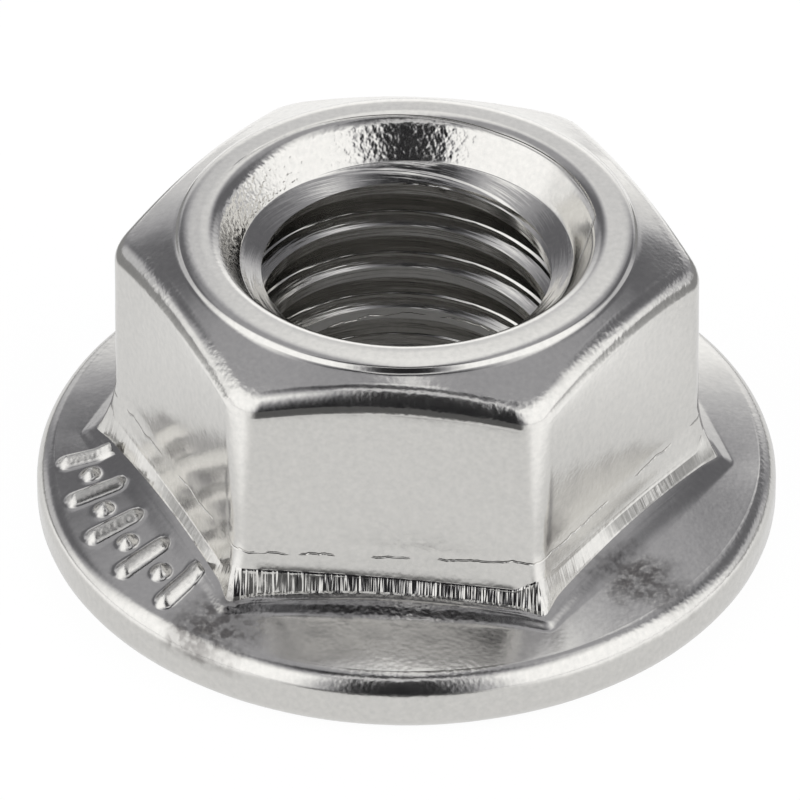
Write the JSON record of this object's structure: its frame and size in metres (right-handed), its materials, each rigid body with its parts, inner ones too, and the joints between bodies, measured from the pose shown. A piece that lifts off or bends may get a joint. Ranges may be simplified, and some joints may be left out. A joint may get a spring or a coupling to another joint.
{
  "type": "serrated flange nut",
  "caption": "Hexagon nut forged in one piece with a round flange whose bearing face has locking serrations, for a coarse metric bolt.",
  "frame": {"origin": "centre of the threaded hole in the plane of the bearing face under the flange", "axes": "+Z along the thread, from the bearing face to the raised ring; two flats of the hexagon face +Y and -Y, two corners point along +X and -X"},
  "size_m": [0.0216, 0.0216, 0.01],
  "materials": {
    "steel": "cold forged stainless steel, tumbled bright, soft dents and fine shear marks"
  },
  "bodies": {
    "root": {"flange_nut": "steel"}
  },
  "joints": []
}
